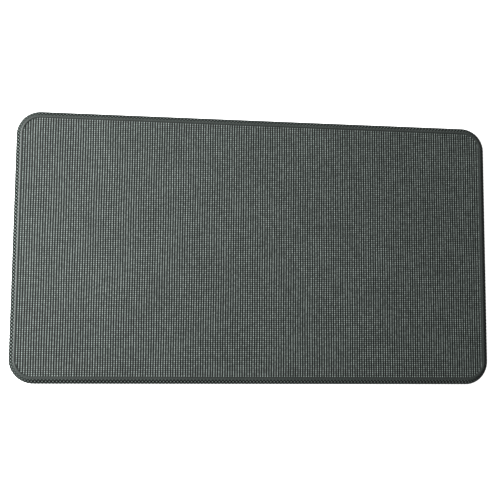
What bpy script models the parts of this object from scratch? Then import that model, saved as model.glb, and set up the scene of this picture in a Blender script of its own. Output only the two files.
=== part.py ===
"""Anti fatigue mat, 36 x 20 inches: a glued laminate of two foam layers in a vinyl jacket.

Metres, +Z up. The origin is the middle of the underside, +X runs along the length.
Every piece follows the same rounded rectangle, so each is one cross-section carried round it.
A cross-section is a list of (inset, height) points: inset is the distance in from the mat's
widest outline, and height is measured from the floor.
"""

import math

import bmesh
import bpy

# Overall size
LENGTH = 0.9144
WIDTH = 0.508
THICKNESS = 0.019
CORNER_RADIUS = 0.045
CORNER_STEPS = 12

GAP = 0.0003  # glue line between two pieces that touch

# Non-slip sheet under the mat
BASE_THICKNESS = 0.0012
BASE_INSET = 0.012

# Band that wraps the edge: a turned-under lip, a rounded lower corner and a sloping side
BAND_THICKNESS = 0.001
LIP_HEIGHT = BASE_THICKNESS + GAP
LIP_INSET = 0.022
HEEL_INSET = 0.007
WIDEST_HEIGHT = 0.008
BAND_TOP = (0.0080, 0.0178)
SIDE_STEEPNESS = 0.0040  # how far the side climbs before it starts to lean in
SIDE_SLOPE = math.radians(43)
SIDE_PULL = 0.0050  # how far the straight slope reaches down from the band's top
HEEL_STEPS = 6
SIDE_STEPS = 10

# Smooth welt between the band and the ribbed field, with a flange glued under the field
WELT_OUTER = (0.00825, 0.0180)
WELT_CREST = 0.01085
WELT_INNER = (0.0123, 0.01835)
WELT_STEPS = 5  # on each side of the crest
WELT_NECK = (0.00893, 0.01728)
FLANGE_OUTER = 0.0090
FLANGE_INNER = 0.0185
FLANGE_THICKNESS = 0.0008

# Wear sheet, from its back to the tops of its ribs
COVER_BACK = 0.0170
COVER_TOP = 0.0186
COVER_EDGE_RADIUS = 0.0005

# Foam
FOAM_SPLIT = 0.0092


def outline(inset):
    """The rounded rectangle that lies inset inside the widest outline, counter-clockwise."""
    radius = CORNER_RADIUS - inset
    centre_x = LENGTH / 2 - CORNER_RADIUS
    centre_y = WIDTH / 2 - CORNER_RADIUS
    points = []
    for quarter, (side_x, side_y) in enumerate(((1, 1), (-1, 1), (-1, -1), (1, -1))):
        for step in range(CORNER_STEPS + 1):
            angle = math.radians(90) * (quarter + step / CORNER_STEPS)
            x = side_x * centre_x + radius * math.cos(angle)
            y = side_y * centre_y + radius * math.sin(angle)
            points.append((x, y))
    return points


def add_loop(bm, inset, height):
    return [bm.verts.new((x, y, height)) for x, y in outline(inset)]


def join_loops(bm, first, second):
    """The wall between two loops. It faces out when the second loop is the higher one."""
    count = len(first)
    for i in range(count):
        following = (i + 1) % count
        bm.faces.new((first[i], first[following], second[following], second[i]))


def add_object(name, bm, material):
    mesh = bpy.data.meshes.new(name)
    bmesh.ops.recalc_face_normals(bm, faces=bm.faces)
    bm.to_mesh(mesh)
    bm.free()
    mesh.shade_smooth()
    mesh.set_sharp_from_angle(angle=math.radians(35))
    mesh.materials.append(material)
    piece = bpy.data.objects.new(name, mesh)
    bpy.context.scene.collection.objects.link(piece)
    return piece


def ring(name, section, material):
    """A closed cross-section carried all the way round."""
    bm = bmesh.new()
    loops = [add_loop(bm, inset, height) for inset, height in section]
    for first, second in zip(loops, loops[1:] + loops[:1]):
        join_loops(bm, first, second)
    return add_object(name, bm, material)


def slab(name, edge, material):
    """A solid sheet: its edge runs from the underside up to the top, and both faces are flat."""
    bm = bmesh.new()
    loops = [add_loop(bm, inset, height) for inset, height in edge]
    for first, second in zip(loops, loops[1:]):
        join_loops(bm, first, second)
    bm.faces.new(list(reversed(loops[0])))
    bm.faces.new(loops[-1])
    return add_object(name, bm, material)


def arc(centre, radii, start, end, steps):
    """Points of an ellipse between two angles in degrees, measured from the inward direction."""
    points = []
    for step in range(steps + 1):
        angle = math.radians(start + (end - start) * step / steps)
        inset = centre[0] + radii[0] * math.cos(angle)
        height = centre[1] + radii[1] * math.sin(angle)
        points.append((inset, height))
    return points


def bezier(p0, p1, p2, p3, steps):
    points = []
    for step in range(steps + 1):
        t = step / steps
        weights = ((1 - t) ** 3, 3 * t * (1 - t) ** 2, 3 * t**2 * (1 - t), t**3)
        inset = sum(w * p[0] for w, p in zip(weights, (p0, p1, p2, p3)))
        height = sum(w * p[1] for w, p in zip(weights, (p0, p1, p2, p3)))
        points.append((inset, height))
    return points


def band_face():
    """The band's outer face: along the lip, round the heel, up the side and over to its top."""
    heel_height = WIDEST_HEIGHT - LIP_HEIGHT
    heel = arc((HEEL_INSET, WIDEST_HEIGHT), (HEEL_INSET, heel_height), 270, 180, HEEL_STEPS)
    top_inset, top_height = BAND_TOP
    side = bezier(
        (0, WIDEST_HEIGHT),
        (0, WIDEST_HEIGHT + SIDE_STEEPNESS),
        (
            top_inset - SIDE_PULL * math.cos(SIDE_SLOPE),
            top_height - SIDE_PULL * math.sin(SIDE_SLOPE),
        ),
        BAND_TOP,
        SIDE_STEPS,
    )
    return [(LIP_INSET, LIP_HEIGHT)] + heel + side[1:]


def sunk(face, depth):
    """The same face moved into the mat by depth."""
    points = []
    for i, (inset, height) in enumerate(face):
        before = face[max(i - 1, 0)]
        after = face[min(i + 1, len(face) - 1)]
        run = after[0] - before[0]
        rise = after[1] - before[1]
        size = math.hypot(run, rise)
        points.append((inset + depth * rise / size, height - depth * run / size))
    return points


def height_range(face, low, high):
    """The stretch of a rising face between two heights, cut exactly at both."""
    points = []
    for (inset_a, height_a), (inset_b, height_b) in zip(face, face[1:]):
        for level in (low, high):
            if height_a < level < height_b:
                share = (level - height_a) / (height_b - height_a)
                points.append((inset_a + share * (inset_b - inset_a), level))
        if low < height_b < high:
            points.append((inset_b, height_b))
    return sorted(points, key=lambda point: point[1])


def vinyl(name, colour, roughness):
    material = bpy.data.materials.new(name)
    material.use_nodes = True
    shader = material.node_tree.nodes["Principled BSDF"]
    shader.inputs["Base Color"].default_value = (*colour, 1)
    shader.inputs["Roughness"].default_value = roughness
    shader.inputs["Metallic"].default_value = 0
    return material


def build_base_sheet():
    edge = [(BASE_INSET, 0), (BASE_INSET, BASE_THICKNESS)]
    slab("base_sheet", edge, vinyl("grip_vinyl", (0.035, 0.037, 0.038), 0.75))


def build_edge_band():
    face = band_face()
    section = face + list(reversed(sunk(face, BAND_THICKNESS)))
    ring("edge_band", section, vinyl("band_vinyl", (0.085, 0.092, 0.088), 0.6))


def build_edge_welt():
    """A rounded crown, lower outside than inside, on a neck with its flange under the wear sheet."""
    crown = []
    for (side, shoulder), start, end in ((WELT_OUTER, 180, 90), (WELT_INNER, 90, 0)):
        radii = (abs(side - WELT_CREST), THICKNESS - shoulder)
        crown += arc((WELT_CREST, shoulder), radii, start, end, WELT_STEPS)[bool(crown):]
    flange_top = COVER_BACK - GAP
    flange_bottom = flange_top - FLANGE_THICKNESS
    section = crown + [
        (WELT_INNER[0], flange_top),
        (FLANGE_INNER, flange_top),
        (FLANGE_INNER, flange_bottom),
        (FLANGE_OUTER, flange_bottom),
        WELT_NECK,
    ]
    ring("edge_welt", section, vinyl("welt_vinyl", (0.11, 0.12, 0.115), 0.4))


def build_top_cover():
    inset = WELT_INNER[0] + GAP
    corner = (inset + COVER_EDGE_RADIUS, COVER_TOP - COVER_EDGE_RADIUS)
    radii = (COVER_EDGE_RADIUS, COVER_EDGE_RADIUS)
    edge = [(inset, COVER_BACK)] + arc(corner, radii, 180, 90, 3)
    slab("top_cover", edge, vinyl("cover_vinyl", (0.1, 0.112, 0.105), 0.55))


def build_support_foam():
    """The firm layer, cut away round its underside to clear the band's lip."""
    side = sunk(band_face(), BAND_THICKNESS + GAP)
    rebate = side[0][1]
    step_inset = LIP_INSET + GAP
    edge = [(step_inset, LIP_HEIGHT), (step_inset, rebate), side[1]]
    edge += height_range(side[1:], rebate, FOAM_SPLIT)
    slab("support_foam", edge, vinyl("support_foam", (0.045, 0.047, 0.05), 0.95))


def build_comfort_foam():
    """The soft layer, cut away round its top to clear the welt's flange."""
    side = sunk(band_face(), BAND_THICKNESS + GAP)
    top = COVER_BACK - GAP
    rebate = top - FLANGE_THICKNESS - GAP
    edge = height_range(side, FOAM_SPLIT + GAP, rebate)
    edge += [(FLANGE_INNER + GAP, rebate), (FLANGE_INNER + GAP, top)]
    slab("comfort_foam", edge, vinyl("comfort_foam", (0.33, 0.34, 0.33), 0.95))


def main():
    for thing in list(bpy.data.objects):
        bpy.data.objects.remove(thing)
    build_base_sheet()
    build_support_foam()
    build_comfort_foam()
    build_edge_band()
    build_edge_welt()
    build_top_cover()


main()
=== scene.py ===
import math

import bpy
import numpy as np
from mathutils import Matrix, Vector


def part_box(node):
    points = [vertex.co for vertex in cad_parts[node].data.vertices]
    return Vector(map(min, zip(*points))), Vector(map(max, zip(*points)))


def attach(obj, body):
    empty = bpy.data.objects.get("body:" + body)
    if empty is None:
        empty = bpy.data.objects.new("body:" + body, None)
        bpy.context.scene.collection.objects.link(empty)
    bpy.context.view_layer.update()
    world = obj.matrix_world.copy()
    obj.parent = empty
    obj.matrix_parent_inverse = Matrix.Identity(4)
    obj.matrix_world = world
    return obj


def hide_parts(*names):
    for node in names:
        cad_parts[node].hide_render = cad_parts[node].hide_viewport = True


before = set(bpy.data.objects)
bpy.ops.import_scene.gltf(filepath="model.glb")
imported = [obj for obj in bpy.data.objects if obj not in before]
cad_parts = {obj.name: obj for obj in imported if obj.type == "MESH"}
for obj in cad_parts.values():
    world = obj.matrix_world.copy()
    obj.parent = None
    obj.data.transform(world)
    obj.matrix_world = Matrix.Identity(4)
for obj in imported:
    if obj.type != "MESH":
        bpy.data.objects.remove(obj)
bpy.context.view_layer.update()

# The looks of the anti fatigue mat, in metres. Every piece follows the same rounded rectangle.
# A cross-section is a list of (inset, height) points: inset is the distance in from the mat's
# widest outline, and height is measured from the floor.

BAND_LOW, BAND_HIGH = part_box("edge_band")
WELT_LOW, WELT_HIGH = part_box("edge_welt")
COVER_LOW, COVER_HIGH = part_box("top_cover")
COMFORT_LOW, COMFORT_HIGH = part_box("comfort_foam")
SUPPORT_LOW, SUPPORT_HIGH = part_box("support_foam")
BASE_LOW, BASE_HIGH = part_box("base_sheet")

HALF_LENGTH = BAND_HIGH.x
HALF_WIDTH = BAND_HIGH.y
CORNER_RADIUS = 0.045
GAP = 0.0003
RING_STEP = 0.0025  # spacing of the samples round a plain ring

# Relief runs from 0 in a dark groove to 1 on a crest. So does the mix of painted shade and wear: a
# low value paints shade into the colour, and a high one leaves a light, worn crest. A phase runs
# from 0 to 1 between two grooves.

# Ribbed wear sheet
COVER_RIM = 0.0007  # width of the plain rim
RIM_RELIEF = 0.8
# Painted shade on the plain rim: how far its colour sits from the groove colour towards the cover's
# own
RIM_SHADE = 0.12
COVER_FADE = 0.0008  # the ribs run into the rim over this distance
RIB_PITCH = 0.00463
BEAD_PITCH = 0.00379
RIB_PHASES = (0, 0.2, 0.4, 0.6, 0.8)
BEAD_PHASES = (0, 0.25, 0.5, 0.75)
RIB_RELIEF = 0.00135  # from the bottom of a groove to the top of a rib
BEAD_DEPTH = 0.58  # share of the relief that a rib loses between two beads
LOW_RIBS = 0.06  # how much lower every second rib is
BEAD_SCATTER = 0.22  # how much lower the lowest bead is
WANDER = 0.00025  # how far the ribs and rows stray from straight lines
WANDER_FADE = 0.02  # they straighten over this distance from the rim
RIB_SHADE_AND_WEAR = 1.75  # how much faster than its height a rib's colour rises from the painted shade of its groove to its light, worn crest

# Edge band
BAND_THICKNESS = 0.001
LIP_INSET = 0.022
HEEL_INSET = 0.007
WIDEST_HEIGHT = 0.008
BAND_TOP = (0.0080, BAND_HIGH.z)
SIDE_STEEPNESS = 0.0040
SIDE_SLOPE = math.radians(43)
SIDE_PULL = 0.0050
DOT_LENGTH = 0.0065  # from one dot to the next along the band
DOT_WIDTH = 0.0095  # and across it
DOT_SAMPLES = 8
DOT_SHARPNESS = 1.6
DOT_RELIEF = 0.0007
DOTTED_WIDTH = 0.0165  # down from the band's top
DOT_FADE = 0.002
DOT_SHADE_AND_WEAR = 4  # how much faster than its height a dot's colour rises from the painted shade around it to its light middle
PLAIN_SHADE = 0.22  # painted shade below the dots, on the lip and on the band's inner face
CORNER_STRETCH = 0.6  # share of its relief that the band loses where it is pulled round a corner

# Welt
WELT_OUTER = (0.00825, 0.0180)
WELT_CREST = 0.0114
WELT_INNER = (0.0123, 0.0187)
WELT_NECK = (0.00893, 0.01728)
WELT_STEPS = 9  # on each side of the crest
FLANGE_OUTER = 0.0090
FLANGE_INNER = 0.0185
FLANGE_THICKNESS = 0.0008

# Foam
LAYER_MARGIN = 0.0004  # height left clear for a layer's last step
LAYER_STEP = 0.0002
REBATE_STEP = 0.0008

# Non-slip sheet, with round pips on its underside
PIP_PITCH = 0.012
PIP_PHASES = (0, 0.2, 0.35, 0.5, 0.65, 0.8)
PIP_RADIUS = 0.0032
PIP_RELIEF = 0.0005
BASE_RIM = 0.006

# Vinyl
TINT_SPREAD = 0.14
TINT_WAVES = 14  # a metre
SHEEN_SPREAD = 0.08
SHEEN_WAVES = 60  # a metre
GRAIN_DEPTH = 0.0002

# Stage
FLOOR_SIZE = 60
FLOOR_WHITE = 0.35
FLOOR_GLOW = 0.37
WALL_GLOW = 0.09  # that the mat gets from the studio's walls
CAMERA_PLACE = (-0.2304, -0.1708, 1.6524)
CAMERA_TURN = (5.831, -7.556, 0.454)
CAMERA_LENS = 62.6
EXPOSURE = 1.2
CONTRAST_GAMMA = 0.66


# ---------------------------------------------------------------- meshes

def add_piece(name, points, faces, material, node, shade_and_wear=None):
    """A smooth piece that stands for a CAD node, with its painted shade and wear at each point if
    it is embossed.
    """
    mesh = bpy.data.meshes.new(name)
    mesh.from_pydata(points.tolist(), [], faces)
    mesh.shade_smooth()
    mesh.materials.append(material)
    if shade_and_wear is not None:
        attribute = mesh.attributes.new("shade_and_wear", "FLOAT", "POINT")
        attribute.data.foreach_set("value", shade_and_wear.astype(np.float32))
    piece = bpy.data.objects.new(name, mesh)
    bpy.context.scene.collection.objects.link(piece)
    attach(piece, "root")
    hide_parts(node)
    return piece


def perimeter():
    straight = 4 * (HALF_LENGTH + HALF_WIDTH - 2 * CORNER_RADIUS)
    return straight + 2 * math.pi * CORNER_RADIUS


def outline(count):
    """Samples round the widest outline: distance along, angle, and the centre that it turns on."""
    quarter = CORNER_RADIUS * math.pi / 2
    centre_x = HALF_LENGTH - CORNER_RADIUS
    centre_y = HALF_WIDTH - CORNER_RADIUS
    runs = [quarter, 2 * centre_x, quarter, 2 * centre_y] * 2
    knots = np.concatenate([[0], np.cumsum(runs)])
    along = knots[-1] * np.arange(count) / count
    angle = np.interp(along, knots, np.radians([0, 90, 90, 180, 180, 270, 270, 360, 360]))
    x = np.interp(along, knots, centre_x * np.array([1, 1, -1, -1, -1, -1, 1, 1, 1]))
    y = np.interp(along, knots, centre_y * np.array([1, 1, 1, 1, -1, -1, -1, -1, 1]))
    return along, angle, x, y


def carry(insets, heights, angle, x, y):
    """Points of a cross-section carried round, a row for each point of the section."""
    reach = CORNER_RADIUS - insets
    reach = np.broadcast_to(reach, reach.shape[:1] + angle.shape)
    heights = np.broadcast_to(heights, reach.shape)
    return np.stack([x + reach * np.cos(angle), y + reach * np.sin(angle), heights], axis=-1)


def wall_faces(index):
    """Quads between each row of vertex numbers and the next, closed round the end of the rows."""
    following = np.roll(index, -1, axis=1)
    quads = np.stack([index[:-1], following[:-1], following[1:], index[1:]], axis=-1)
    return quads.reshape(-1, 4).tolist()


def ring_mesh(insets, heights, angle, x, y):
    """A closed cross-section carried all the way round."""
    points = carry(insets, heights, angle, x, y)
    index = np.arange(points.shape[0] * points.shape[1]).reshape(points.shape[:2])
    return points.reshape(-1, 3), wall_faces(np.vstack([index, index[:1]]))


def slab_mesh(edge):
    """A solid sheet whose edge runs from the underside up to the top."""
    _, angle, x, y = outline(round(perimeter() / RING_STEP))
    edge = np.array(edge)
    points = carry(edge[:, :1], edge[:, 1:], angle, x, y)
    index = np.arange(points.shape[0] * points.shape[1]).reshape(points.shape[:2])
    faces = wall_faces(index) + [index[0, ::-1].tolist(), index[-1].tolist()]
    return points.reshape(-1, 3), faces


def arc(centre, radii, start, end, steps):
    """Points of an ellipse between two angles in degrees, measured from the inward direction."""
    angles = np.radians(np.linspace(start, end, steps + 1))
    return [
        (centre[0] + radii[0] * math.cos(angle), centre[1] + radii[1] * math.sin(angle))
        for angle in angles
    ]


def bezier(p0, p1, p2, p3, steps):
    t = np.linspace(0, 1, steps + 1)[:, None]
    weights = ((1 - t) ** 3, 3 * t * (1 - t) ** 2, 3 * t**2 * (1 - t), t**3)
    return sum(w * np.array(p) for w, p in zip(weights, (p0, p1, p2, p3))).tolist()


def band_face(lip_steps, heel_steps, side_steps):
    """The band's outer face: along the lip, round the heel, up the side and over to its top."""
    lip_height = BAND_LOW.z
    lip = np.linspace((LIP_INSET, lip_height), (HEEL_INSET, lip_height), lip_steps + 1).tolist()
    radii = (HEEL_INSET, WIDEST_HEIGHT - lip_height)
    heel = arc((HEEL_INSET, WIDEST_HEIGHT), radii, 270, 180, heel_steps)
    pull = (SIDE_PULL * math.cos(SIDE_SLOPE), SIDE_PULL * math.sin(SIDE_SLOPE))
    side = bezier(
        (0, WIDEST_HEIGHT),
        (0, WIDEST_HEIGHT + SIDE_STEEPNESS),
        (BAND_TOP[0] - pull[0], BAND_TOP[1] - pull[1]),
        BAND_TOP,
        side_steps,
    )
    return np.array(lip + heel[1:] + side[1:])


def inward(face):
    """The direction into the mat at each point of a face."""
    run = np.gradient(face, axis=0)
    run /= np.linalg.norm(run, axis=1)[:, None]
    return np.stack([run[:, 1], -run[:, 0]], axis=1)


# ------------------------------------------------------- embossed sheets

def cell_samples(half, rim, pitch, phases):
    """Sample places from -half to half: a plain rim at each end, and whole cells between."""
    ends = half - rim
    count = round(2 * ends / pitch)
    cell = np.repeat(np.arange(count), len(phases))
    phase = np.tile(phases, count)
    inner = -ends + 2 * ends * (cell + phase) / count
    place = np.concatenate([[-half], inner, [ends, half]])
    cell = np.concatenate([[0], cell, [count - 1, count - 1]])
    phase = np.concatenate([[0], phase, [1, 1]])
    return place, cell, phase


def rim_distance(x, y, half_x, half_y, radius):
    """How far a point lies inside a rounded rectangle."""
    beyond_x = np.abs(x) - (half_x - radius)
    beyond_y = np.abs(y) - (half_y - radius)
    corner = np.hypot(np.maximum(beyond_x, 0), np.maximum(beyond_y, 0))
    return radius - corner - np.minimum(np.maximum(beyond_x, beyond_y), 0)


def grid_on_sheet(x, y, half_x, half_y, radius):
    """A grid of points whose outermost rows are drawn in to the rounded corners.

    Also each column's first and last row on the sheet.
    """
    beyond = np.maximum(np.abs(x) - (half_x - radius), 0)
    reach = half_y - radius + np.sqrt(np.maximum(radius**2 - beyond**2, 0))
    # The margin keeps a row that lies on the rim itself from counting as outside it.
    first = np.maximum(np.searchsorted(y, -reach + 1e-6) - 1, 0)
    last = len(y) - 1 - first
    grid_x = np.repeat(x[:, None], len(y), axis=1)
    grid_y = np.clip(y[None, :], -reach[:, None], reach[:, None])
    return grid_x, grid_y, first, last


def sheet_faces(first, last, rows):
    """Faces of the grid between each column's first and last row, and the loop round its rim."""
    number = np.arange(len(first) * rows).reshape(len(first), rows)
    column = np.clip(np.arange(rows)[None, :], first[:, None], last[:, None])
    number = np.take_along_axis(number, column, axis=1)
    quads = np.stack([number[:-1, :-1], number[1:, :-1], number[1:, 1:], number[:-1, 1:]], axis=-1)
    quads = quads.reshape(-1, 4)
    whole = (quads != np.roll(quads, 1, axis=1)).all(axis=1)
    corners = [list(dict.fromkeys(quad)) for quad in quads[~whole].tolist()]
    faces = quads[whole].tolist() + [corner for corner in corners if len(corner) == 3]
    right = np.arange(first[-1], last[-1])
    left = np.arange(last[0], first[0], -1)
    rim = [number[:-1, 0], number[-1, right], number[:0:-1, -1], number[0, left]]
    return faces, np.concatenate(rim)


def embossed_mesh(grid_x, grid_y, first, last, relief, shade_and_wear, crest, depth, back):
    """A closed sheet, embossed on one side and plain on its back."""
    direction = 1 if crest > back else -1
    height = crest - direction * depth * (1 - relief)
    face_points = np.stack([grid_x, grid_y, height], axis=-1).reshape(-1, 3)
    faces, rim = sheet_faces(first, last, grid_x.shape[1])
    back_points = face_points[rim] * (1, 1, 0) + (0, 0, back)
    back_rim = np.arange(len(rim)) + len(face_points)
    faces += wall_faces(np.stack([back_rim, rim]))
    faces.append(back_rim[::-1].tolist())
    points = np.vstack([face_points, back_points])
    shade_and_wear = np.concatenate([shade_and_wear.ravel(), np.zeros(len(rim))])

    used = np.unique([corner for face in faces for corner in face])
    renumber = np.zeros(len(points), int)
    renumber[used] = np.arange(len(used))
    faces = [renumber[face][::direction].tolist() for face in faces]
    return points[used], faces, shade_and_wear[used]


# ------------------------------------------------------------- materials

def new_material(name):
    material = bpy.data.materials.new(name)
    material.use_nodes = True
    tree = material.node_tree
    return material, tree, tree.nodes["Principled BSDF"]


def object_noise(tree, scale, detail=4.0):
    """Noise fixed to the piece, with scale in waves a metre."""
    place = tree.nodes.new("ShaderNodeTexCoord")
    noise = tree.nodes.new("ShaderNodeTexNoise")
    noise.inputs["Scale"].default_value = scale
    noise.inputs["Detail"].default_value = detail
    tree.links.new(place.outputs["Object"], noise.inputs["Vector"])
    return noise.outputs["Fac"]


def mix_colours(tree, factor, first, second):
    """first where factor is 0 and second where it is 1. Each is a colour or an output socket."""
    mix = tree.nodes.new("ShaderNodeMix")
    mix.data_type = "RGBA"
    tree.links.new(factor, mix.inputs["Factor"])
    # A mix node's colour sockets share their names with others, so they go by number.
    for socket, colour in zip(mix.inputs[6:8], (first, second)):
        if isinstance(colour, bpy.types.NodeSocket):
            tree.links.new(colour, socket)
        else:
            socket.default_value = (*colour, 1)
    return mix.outputs[2]


def spread(tree, value, low, high):
    """value, which is from 0 to 1, stretched to run from low to high."""
    stretch = tree.nodes.new("ShaderNodeMapRange")
    stretch.inputs["To Min"].default_value = low
    stretch.inputs["To Max"].default_value = high
    tree.links.new(value, stretch.inputs["Value"])
    return stretch.outputs["Result"]


def add_bump(tree, shader, height, depth, strength):
    bump = tree.nodes.new("ShaderNodeBump")
    bump.inputs["Distance"].default_value = depth
    bump.inputs["Strength"].default_value = strength
    tree.links.new(height, bump.inputs["Height"])
    tree.links.new(bump.outputs["Normal"], shader.inputs["Normal"])


def vinyl(name, colour, roughness, specular, grain, groove_shade=None):
    """Embossed vinyl: a cloudy colour, a fine grain, and a sheen worn unevenly.

    Where the piece is embossed, the groove colour is painted shade: it lies in the hollows and
    gives way to the vinyl's own colour towards the crests.
    """
    material, tree, shader = new_material(name)
    dull = [(1 - TINT_SPREAD) * part for part in colour]
    fresh = [(1 + TINT_SPREAD) * part for part in colour]
    tint = mix_colours(tree, object_noise(tree, TINT_WAVES), dull, fresh)
    if groove_shade is not None:
        # The point attribute paints shade: the groove colour where it is 0, the vinyl's own colour
        # where it is 1.
        shade_and_wear = tree.nodes.new("ShaderNodeAttribute")
        shade_and_wear.attribute_name = "shade_and_wear"
        tint = mix_colours(tree, shade_and_wear.outputs["Fac"], groove_shade, tint)
    tree.links.new(tint, shader.inputs["Base Color"])
    shader.inputs["Specular IOR Level"].default_value = specular
    sheen = object_noise(tree, SHEEN_WAVES)
    uneven = spread(tree, sheen, roughness - SHEEN_SPREAD, roughness + SHEEN_SPREAD)
    tree.links.new(uneven, shader.inputs["Roughness"])
    add_bump(tree, shader, object_noise(tree, 1 / grain, 2), GRAIN_DEPTH, 0.5)
    return material


def foam(name, dark, light, cell):
    """Open-celled foam."""
    material, tree, shader = new_material(name)
    place = tree.nodes.new("ShaderNodeTexCoord")
    cells = tree.nodes.new("ShaderNodeTexVoronoi")
    cells.inputs["Scale"].default_value = 1 / cell
    tree.links.new(place.outputs["Object"], cells.inputs["Vector"])
    distance = cells.outputs["Distance"]
    tree.links.new(mix_colours(tree, distance, light, dark), shader.inputs["Base Color"])
    shader.inputs["Roughness"].default_value = 0.95
    add_bump(tree, shader, distance, 0.0004, 0.8)
    return material


# ---------------------------------------------------------------- pieces

def build_cover():
    """The wear sheet: beaded ribs along the mat's width, ending at a plain rim."""
    half_x = COVER_HIGH.x
    half_y = COVER_HIGH.y
    radius = CORNER_RADIUS - (HALF_LENGTH - half_x)
    x, rib, rib_phase = cell_samples(half_x, COVER_RIM, RIB_PITCH, RIB_PHASES)
    y, bead, bead_phase = cell_samples(half_y, COVER_RIM, BEAD_PITCH, BEAD_PHASES)
    grid_x, grid_y, first, last = grid_on_sheet(x, y, half_x, half_y, radius)

    random = np.random.default_rng(7)
    scatter = 1 - BEAD_SCATTER * random.random((rib.max() + 1, bead.max() + 1))
    ridge = np.sin(math.pi * rib_phase) ** 2 * (1 - LOW_RIBS * (rib % 2))
    crown = 1 - BEAD_DEPTH * np.cos(math.pi * bead_phase) ** 2
    relief = ridge[:, None] * crown[None, :] * scatter[rib][:, bead]
    depth = rim_distance(grid_x, grid_y, half_x, half_y, radius)
    rim = 1 - np.clip((depth - COVER_RIM) / COVER_FADE, 0, 1)
    # Painted shade, darkest in the grooves and between the beads, with the crests left light as
    # wear; the plain rim gets one even painted shade.
    shade_and_wear = relief**RIB_SHADE_AND_WEAR * (1 - rim) + RIM_SHADE * rim
    relief += (RIM_RELIEF - relief) * rim

    # Slow waves a few centimetres long bend the ribs sideways and the rows along them.
    steady = np.clip(depth / WANDER_FADE, 0, 1)
    sway = np.sin(grid_y / 0.031 + 3 * np.sin(grid_x / 0.057)) * WANDER * steady
    drift = np.sin(grid_x / 0.027 + 2 * np.sin(grid_y / 0.043)) * WANDER * steady
    grid_x = grid_x + sway
    grid_y = grid_y + drift

    points, faces, shade_and_wear = embossed_mesh(
        grid_x, grid_y, first, last, relief, shade_and_wear, COVER_HIGH.z, RIB_RELIEF, COVER_LOW.z
    )
    # Painted shade in the grooves: nearly black.
    groove_shade = (0.003, 0.0045, 0.0038)
    material = vinyl("cover_vinyl", (0.276, 0.306, 0.293), 0.58, 0.22, 0.0006, groove_shade)
    cover = add_piece("ribbed_cover", points, faces, material, "top_cover", shade_and_wear)


def build_band():
    """The wrapped edge, with staggered dots on its sloping side."""
    repeats = round(perimeter() / DOT_LENGTH)
    along, angle, x, y = outline(repeats * DOT_SAMPLES)
    outer = band_face(lip_steps=6, heel_steps=8, side_steps=20)
    into = inward(outer)
    steps = np.linalg.norm(np.diff(outer, axis=0), axis=1)
    from_top = np.append(np.cumsum(steps[::-1])[::-1], 0)
    wave_along = np.cos(2 * math.pi * repeats * along / perimeter())
    wave_across = np.cos(2 * math.pi * from_top / DOT_WIDTH)
    dots = np.tanh(DOT_SHARPNESS * wave_across[:, None] * wave_along[None, :])
    stretch = CORNER_STRETCH * np.abs(np.sin(2 * angle))
    fade = np.clip((DOTTED_WIDTH - from_top) / DOT_FADE, 0, 1)[:, None]
    relief = 1 - 0.5 * (1 - dots * (1 - stretch)) * fade
    sink = DOT_RELIEF * (1 - relief)
    insets = outer[:, :1] + into[:, :1] * sink
    heights = outer[:, 1:] + into[:, 1:] * sink

    inner = (outer + into * BAND_THICKNESS)[::-2]
    insets = np.vstack([insets, np.repeat(inner[:, :1], len(along), axis=1)])
    heights = np.vstack([heights, np.repeat(inner[:, 1:], len(along), axis=1)])
    # Painted shade between the dots and below them, with the dots' middles left light.
    shade_and_wear = ((1 + dots) / 2) ** DOT_SHADE_AND_WEAR
    shade_and_wear = PLAIN_SHADE + (shade_and_wear - PLAIN_SHADE) * fade * (1 - stretch)
    shade_and_wear = np.vstack([shade_and_wear, np.full((len(inner), len(along)), PLAIN_SHADE)])
    points, faces = ring_mesh(insets, heights, angle, x, y)
    # Painted shade between the dots: nearly black.
    groove_shade = (0.002, 0.0024, 0.0022)
    material = vinyl("band_vinyl", (0.2, 0.228, 0.217), 0.7, 0.15, 0.0006, groove_shade)
    band = add_piece(
        "wrapped_edge", points, faces, material, "edge_band", shade_and_wear.ravel()
    )


def build_welt():
    """A smooth bead with its flange under the wear sheet."""
    section = []
    for (side, shoulder), start, end in ((WELT_OUTER, 180, 90), (WELT_INNER, 90, 0)):
        radii = (abs(side - WELT_CREST), WELT_HIGH.z - shoulder)
        section += arc((WELT_CREST, shoulder), radii, start, end, WELT_STEPS)[bool(section):]
    flange_top = COVER_LOW.z - GAP
    flange_bottom = flange_top - FLANGE_THICKNESS
    section += [
        (WELT_INNER[0], flange_top),
        (FLANGE_INNER, flange_top),
        (FLANGE_INNER, flange_bottom),
        (FLANGE_OUTER, flange_bottom),
        WELT_NECK,
    ]
    section = np.array(section)
    _, angle, x, y = outline(round(perimeter() / RING_STEP))
    points, faces = ring_mesh(section[:, :1], section[:, 1:], angle, x, y)
    material = vinyl("welt_vinyl", (0.04, 0.0455, 0.043), 0.48, 0.32, 0.0004)
    add_piece("smooth_welt", points, faces, material, "edge_welt")


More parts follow.
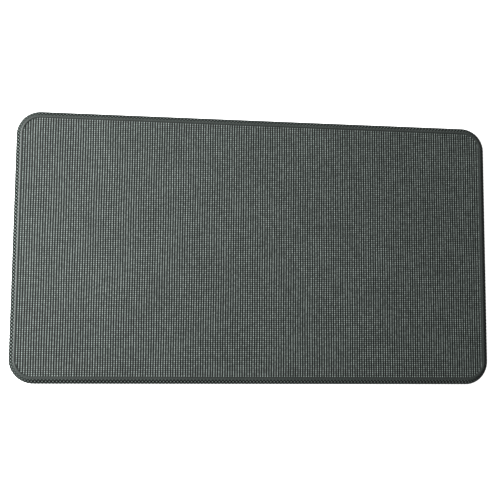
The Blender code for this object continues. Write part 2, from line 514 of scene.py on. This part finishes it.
def build_foams():
    """The two foam layers, cut back to clear the band's lip and the welt's flange."""
    face = band_face(lip_steps=1, heel_steps=8, side_steps=10)
    side = (face + inward(face) * (BAND_THICKNESS + GAP))[1:]
    height = side[:, 1]
    step = LIP_INSET + GAP
    rebate = height[0]
    low = side[(height > rebate) & (height < SUPPORT_HIGH.z - LAYER_MARGIN)].tolist()
    edge = [(step, SUPPORT_LOW.z), (step, rebate), tuple(side[0])] + low
    edge.append((low[-1][0] + LAYER_STEP, SUPPORT_HIGH.z))
    points, faces = slab_mesh(edge)
    material = foam("support_foam", (0.02, 0.021, 0.023), (0.055, 0.057, 0.06), 0.0012)
    support = add_piece("layer_support", points, faces, material, "support_foam")

    step = FLANGE_INNER + GAP
    rebate = COMFORT_HIGH.z - FLANGE_THICKNESS - GAP
    high = side[(height > COMFORT_LOW.z + LAYER_MARGIN) & (height < rebate)].tolist()
    edge = [(high[0][0] + LAYER_STEP, COMFORT_LOW.z)] + high
    edge += [(high[-1][0] + REBATE_STEP, rebate), (step, rebate), (step, COMFORT_HIGH.z)]
    points, faces = slab_mesh(edge)
    material = foam("comfort_foam", (0.2, 0.2, 0.19), (0.42, 0.42, 0.4), 0.0016)
    comfort = add_piece("layer_comfort", points, faces, material, "comfort_foam")


def build_base():
    """The non-slip sheet, standing on its pips."""
    half_x = BASE_HIGH.x
    half_y = BASE_HIGH.y
    radius = CORNER_RADIUS - (HALF_LENGTH - half_x)
    x, _, phase_x = cell_samples(half_x, BASE_RIM, PIP_PITCH, PIP_PHASES)
    y, _, phase_y = cell_samples(half_y, BASE_RIM, PIP_PITCH, PIP_PHASES)
    grid_x, grid_y, first, last = grid_on_sheet(x, y, half_x, half_y, radius)
    from_pip = np.hypot(phase_x[:, None] - 0.5, phase_y[None, :] - 0.5) * PIP_PITCH
    relief = np.sqrt(np.clip(1 - (from_pip / PIP_RADIUS) ** 2, 0, 1))
    relief *= rim_distance(grid_x, grid_y, half_x, half_y, radius) > BASE_RIM
    # Painted shade on the sheet between the pips, with the pips' tops in the vinyl's own colour.
    points, faces, shade_and_wear = embossed_mesh(
        grid_x, grid_y, first, last, relief, relief, BASE_LOW.z, PIP_RELIEF, BASE_HIGH.z
    )
    # Painted shade between the pips.
    groove_shade = (0.022, 0.024, 0.025)
    material = vinyl("grip_vinyl", (0.032, 0.034, 0.035), 0.75, 0.3, 0.0005, groove_shade)
    base = add_piece("grip_sheet", points, faces, material, "base_sheet", shade_and_wear)


# ----------------------------------------------------------------- stage

def build_floor():
    bpy.ops.mesh.primitive_plane_add(size=FLOOR_SIZE, location=(0, 0, 0))
    floor = bpy.context.object
    floor.name = "floor"
    material, _, shader = new_material("floor_white")
    shader.inputs["Base Color"].default_value = (FLOOR_WHITE, FLOOR_WHITE, FLOOR_WHITE, 1)
    shader.inputs["Roughness"].default_value = 0.9
    shader.inputs["Emission Color"].default_value = (1, 1, 1, 1)
    shader.inputs["Emission Strength"].default_value = FLOOR_GLOW
    floor.data.materials.append(material)


def add_area(name, place, size, power):
    """A square soft light that points at the mat, with its power in watts."""
    light = bpy.data.lights.new(name, "AREA")
    light.size = size
    light.energy = power
    lamp = bpy.data.objects.new(name, light)
    bpy.context.scene.collection.objects.link(lamp)
    lamp.location = place
    lamp.rotation_euler = (-lamp.location).to_track_quat("-Z", "Y").to_euler()


def build_world():
    """A white studio wall to the camera, and a dim one to the mat."""
    world = bpy.data.worlds.new("studio")
    bpy.context.scene.world = world
    world.use_nodes = True
    tree = world.node_tree
    background = tree.nodes["Background"]
    background.inputs["Color"].default_value = (1, 1, 1, 1)
    seen = tree.nodes.new("ShaderNodeLightPath").outputs["Is Camera Ray"]
    tree.links.new(spread(tree, seen, WALL_GLOW, 1), background.inputs["Strength"])


def build_camera():
    camera = bpy.data.objects.new("camera", bpy.data.cameras.new("camera"))
    bpy.context.scene.collection.objects.link(camera)
    camera.location = CAMERA_PLACE
    camera.rotation_euler = [math.radians(turn) for turn in CAMERA_TURN]
    camera.data.lens = CAMERA_LENS
    bpy.context.scene.camera = camera


def set_contrast():
    """Crisp studio tones: the display's contrast is raised and the exposure makes up for it."""
    view = bpy.context.scene.view_settings
    view.view_transform = "Standard"
    view.exposure = EXPOSURE
    view.gamma = CONTRAST_GAMMA


build_cover()
build_band()
build_welt()
build_foams()
build_base()
build_floor()
add_area("key", place=(-2, 0.42, 2.1), size=0.9, power=128)
add_area("fill", place=(0.6, 1.2, 2), size=2.2, power=10)
add_area("near", place=(-0.9, -2.2, 1.1), size=1.2, power=14)
build_world()
build_camera()
set_contrast()
